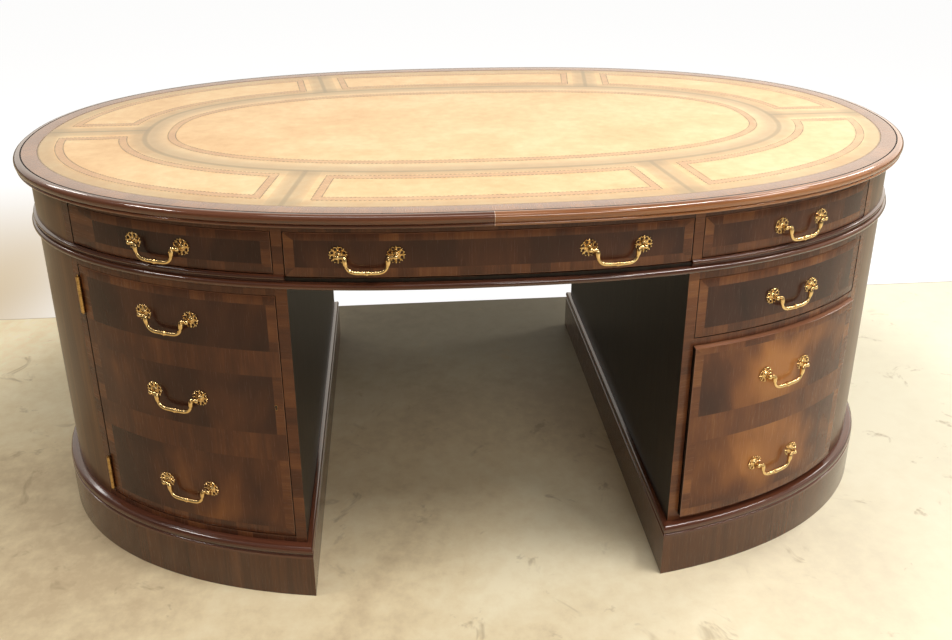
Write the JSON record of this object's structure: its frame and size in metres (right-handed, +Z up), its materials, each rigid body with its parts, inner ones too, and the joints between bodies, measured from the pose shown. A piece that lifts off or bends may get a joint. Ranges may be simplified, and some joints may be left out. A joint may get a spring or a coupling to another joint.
{
  "type": "partners desk",
  "caption": "Oval partners desk with a leather writing top on drawer pedestals; drawers, a cupboard door and swinging bail handles face both long sides.",
  "frame": {"origin": "on the floor under the middle of the desk", "axes": "+X along the length, to the right of the front sitter's view; +Y from the front to the back; +Z up"},
  "size_m": [1.82, 1.1, 0.775],
  "materials": {
    "mahogany": "french polished, crossbanded",
    "mahogany_edge": "french polished",
    "leather": "waxed, with tooled borders",
    "drawer_oak": "unpolished",
    "brass": "polished, aged"
  },
  "bodies": {
    "carcass": {"top_board": "mahogany", "leather_inset": "leather", "edge_moulding": "mahogany_edge", "frieze_apron": "mahogany", "frieze_tray": "drawer_oak", "waist_moulding": "mahogany_edge", "left_pedestal_case": "mahogany", "right_pedestal_case": "mahogany", "left_pedestal_frame": "drawer_oak", "right_pedestal_frame": "drawer_oak", "left_plinth": "mahogany", "right_plinth": "mahogany", "front_upper_hinge": "brass", "front_lower_hinge": "brass", "back_upper_hinge": "brass", "back_lower_hinge": "brass", "front_cupboard_shelf": "drawer_oak", "back_cupboard_shelf": "drawer_oak"},
    "front_left_drawer": {"front_left_drawer_front": "mahogany", "front_left_drawer_box": "drawer_oak"},
    "front_centre_drawer": {"front_centre_drawer_front": "mahogany", "front_centre_drawer_box": "drawer_oak"},
    "front_right_drawer": {"front_right_drawer_front": "mahogany", "front_right_drawer_box": "drawer_oak"},
    "front_upper_drawer": {"front_upper_drawer_front": "mahogany", "front_upper_drawer_box": "drawer_oak"},
    "front_file_drawer": {"front_file_drawer_front": "mahogany", "front_file_drawer_box": "drawer_oak"},
    "front_cupboard_door": {"front_cupboard_door": "mahogany"},
    "back_left_drawer": {"back_left_drawer_front": "mahogany", "back_left_drawer_box": "drawer_oak"},
    "back_centre_drawer": {"back_centre_drawer_front": "mahogany", "back_centre_drawer_box": "drawer_oak"},
    "back_right_drawer": {"back_right_drawer_front": "mahogany", "back_right_drawer_box": "drawer_oak"},
    "back_upper_drawer": {"back_upper_drawer_front": "mahogany", "back_upper_drawer_box": "drawer_oak"},
    "back_file_drawer": {"back_file_drawer_front": "mahogany", "back_file_drawer_box": "drawer_oak"},
    "back_cupboard_door": {"back_cupboard_door": "mahogany"},
    "back_centre_left_bail": {"back_centre_left_bail": "brass"},
    "back_centre_right_bail": {"back_centre_right_bail": "brass"},
    "back_door_lower_bail": {"back_door_lower_bail": "brass"},
    "back_door_middle_bail": {"back_door_middle_bail": "brass"},
    "back_door_upper_bail": {"back_door_upper_bail": "brass"},
    "back_file_lower_bail": {"back_file_lower_bail": "brass"},
    "back_file_upper_bail": {"back_file_upper_bail": "brass"},
    "back_left_drawer_bail": {"back_left_drawer_bail": "brass"},
    "back_right_drawer_bail": {"back_right_drawer_bail": "brass"},
    "back_upper_drawer_bail": {"back_upper_drawer_bail": "brass"},
    "front_centre_left_bail": {"front_centre_left_bail": "brass"},
    "front_centre_right_bail": {"front_centre_right_bail": "brass"},
    "front_door_lower_bail": {"front_door_lower_bail": "brass"},
    "front_door_middle_bail": {"front_door_middle_bail": "brass"},
    "front_door_upper_bail": {"front_door_upper_bail": "brass"},
    "front_file_lower_bail": {"front_file_lower_bail": "brass"},
    "front_file_upper_bail": {"front_file_upper_bail": "brass"},
    "front_left_drawer_bail": {"front_left_drawer_bail": "brass"},
    "front_right_drawer_bail": {"front_right_drawer_bail": "brass"},
    "front_upper_drawer_bail": {"front_upper_drawer_bail": "brass"}
  },
  "joints": [
    {"name": "front_left_drawer_slide", "type": "slide", "parent": "carcass", "child": "front_left_drawer", "axis": [0, -1, 0], "range_m": [0, 0.28]},
    {"name": "front_centre_drawer_slide", "type": "slide", "parent": "carcass", "child": "front_centre_drawer", "axis": [0, -1, 0], "range_m": [0, 0.34]},
    {"name": "front_right_drawer_slide", "type": "slide", "parent": "carcass", "child": "front_right_drawer", "axis": [0, -1, 0], "range_m": [0, 0.28]},
    {"name": "front_upper_drawer_slide", "type": "slide", "parent": "carcass", "child": "front_upper_drawer", "axis": [0, -1, 0], "range_m": [0, 0.28]},
    {"name": "front_file_drawer_slide", "type": "slide", "parent": "carcass", "child": "front_file_drawer", "axis": [0, -1, 0], "range_m": [-0.012, 0.268]},
    {"name": "front_door_hinge", "type": "hinge", "parent": "carcass", "child": "front_cupboard_door", "pos_m": [-0.73771, -0.33463, 0.36], "axis": [0, 0, -1], "range_deg": [0, 105]},
    {"name": "back_left_drawer_slide", "type": "slide", "parent": "carcass", "child": "back_left_drawer", "axis": [0, 1, 0], "range_m": [0, 0.28]},
    {"name": "back_centre_drawer_slide", "type": "slide", "parent": "carcass", "child": "back_centre_drawer", "axis": [0, 1, 0], "range_m": [0, 0.34]},
    {"name": "back_right_drawer_slide", "type": "slide", "parent": "carcass", "child": "back_right_drawer", "axis": [0, 1, 0], "range_m": [0, 0.28]},
    {"name": "back_upper_drawer_slide", "type": "slide", "parent": "carcass", "child": "back_upper_drawer", "axis": [0, 1, 0], "range_m": [0, 0.28]},
    {"name": "back_file_drawer_slide", "type": "slide", "parent": "carcass", "child": "back_file_drawer", "axis": [0, 1, 0], "range_m": [0, 0.28]},
    {"name": "back_door_hinge", "type": "hinge", "parent": "carcass", "child": "back_cupboard_door", "pos_m": [0.73771, 0.33463, 0.36], "axis": [0, 0, -1], "range_deg": [0, 105]},
    {"name": "back_centre_left_swing", "type": "hinge", "parent": "back_centre_drawer", "child": "back_centre_left_bail", "pos_m": [0.20835, 0.53137, 0.69905], "axis": [0.9969, -0.0781, 0], "range_deg": [0, 110]},
    {"name": "back_centre_right_swing", "type": "hinge", "parent": "back_centre_drawer", "child": "back_centre_right_bail", "pos_m": [-0.20835, 0.53137, 0.69905], "axis": [0.9969, 0.0781, 0], "range_deg": [0, 110]},
    {"name": "back_door_lower_swing", "type": "hinge", "parent": "back_cupboard_door", "child": "back_door_lower_bail", "pos_m": [0.56599, 0.44945, 0.20956], "axis": [0.9194, -0.3934, 0], "range_deg": [0, 110]},
    {"name": "back_door_middle_swing", "type": "hinge", "parent": "back_cupboard_door", "child": "back_door_middle_bail", "pos_m": [0.56599, 0.44945, 0.40581], "axis": [0.9194, -0.3934, 0], "range_deg": [0, 110]},
    {"name": "back_door_upper_swing", "type": "hinge", "parent": "back_cupboard_door", "child": "back_door_upper_bail", "pos_m": [0.56599, 0.44945, 0.5625], "axis": [0.9194, -0.3934, 0], "range_deg": [0, 110]},
    {"name": "back_file_lower_swing", "type": "hinge", "parent": "back_file_drawer", "child": "back_file_lower_bail", "pos_m": [-0.56599, 0.44945, 0.20956], "axis": [0.9194, 0.3934, 0], "range_deg": [0, 110]},
    {"name": "back_file_upper_swing", "type": "hinge", "parent": "back_file_drawer", "child": "back_file_upper_bail", "pos_m": [-0.56599, 0.44945, 0.40581], "axis": [0.9194, 0.3934, 0], "range_deg": [0, 110]},
    {"name": "back_left_drawer_swing", "type": "hinge", "parent": "back_left_drawer", "child": "back_left_drawer_bail", "pos_m": [0.56599, 0.44945, 0.69905], "axis": [0.9194, -0.3934, 0], "range_deg": [0, 110]},
    {"name": "back_right_drawer_swing", "type": "hinge", "parent": "back_right_drawer", "child": "back_right_drawer_bail", "pos_m": [-0.56599, 0.44945, 0.69905], "axis": [0.9194, 0.3934, 0], "range_deg": [0, 110]},
    {"name": "back_upper_drawer_swing", "type": "hinge", "parent": "back_upper_drawer", "child": "back_upper_drawer_bail", "pos_m": [-0.56599, 0.44945, 0.5625], "axis": [0.9194, 0.3934, 0], "range_deg": [0, 110]},
    {"name": "front_centre_left_swing", "type": "hinge", "parent": "front_centre_drawer", "child": "front_centre_left_bail", "pos_m": [-0.20835, -0.53137, 0.69905], "axis": [-0.9969, 0.0781, 0], "range_deg": [0, 110]},
    {"name": "front_centre_right_swing", "type": "hinge", "parent": "front_centre_drawer", "child": "front_centre_right_bail", "pos_m": [0.20835, -0.53137, 0.69905], "axis": [-0.9969, -0.0781, 0], "range_deg": [0, 110]},
    {"name": "front_door_lower_swing", "type": "hinge", "parent": "front_cupboard_door", "child": "front_door_lower_bail", "pos_m": [-0.56599, -0.44945, 0.20956], "axis": [-0.9194, 0.3934, 0], "range_deg": [0, 110]},
    {"name": "front_door_middle_swing", "type": "hinge", "parent": "front_cupboard_door", "child": "front_door_middle_bail", "pos_m": [-0.56599, -0.44945, 0.40581], "axis": [-0.9194, 0.3934, 0], "range_deg": [0, 110]},
    {"name": "front_door_upper_swing", "type": "hinge", "parent": "front_cupboard_door", "child": "front_door_upper_bail", "pos_m": [-0.56599, -0.44945, 0.5625], "axis": [-0.9194, 0.3934, 0], "range_deg": [0, 110]},
    {"name": "front_file_lower_swing", "type": "hinge", "parent": "front_file_drawer", "child": "front_file_lower_bail", "pos_m": [0.56599, -0.46146, 0.20956], "axis": [-0.9194, -0.3934, 0], "range_deg": [0, 110]},
    {"name": "front_file_upper_swing", "type": "hinge", "parent": "front_file_drawer", "child": "front_file_upper_bail", "pos_m": [0.56599, -0.46146, 0.40581], "axis": [-0.9194, -0.3934, 0], "range_deg": [0, 110]},
    {"name": "front_left_drawer_swing", "type": "hinge", "parent": "front_left_drawer", "child": "front_left_drawer_bail", "pos_m": [-0.56599, -0.44945, 0.69905], "axis": [-0.9194, 0.3934, 0], "range_deg": [0, 110]},
    {"name": "front_right_drawer_swing", "type": "hinge", "parent": "front_right_drawer", "child": "front_right_drawer_bail", "pos_m": [0.56599, -0.44945, 0.69905], "axis": [-0.9194, -0.3934, 0], "range_deg": [0, 110]},
    {"name": "front_upper_drawer_swing", "type": "hinge", "parent": "front_upper_drawer", "child": "front_upper_drawer_bail", "pos_m": [0.56599, -0.44945, 0.5625], "axis": [-0.9194, -0.3934, 0], "range_deg": [0, 110]}
  ]
}
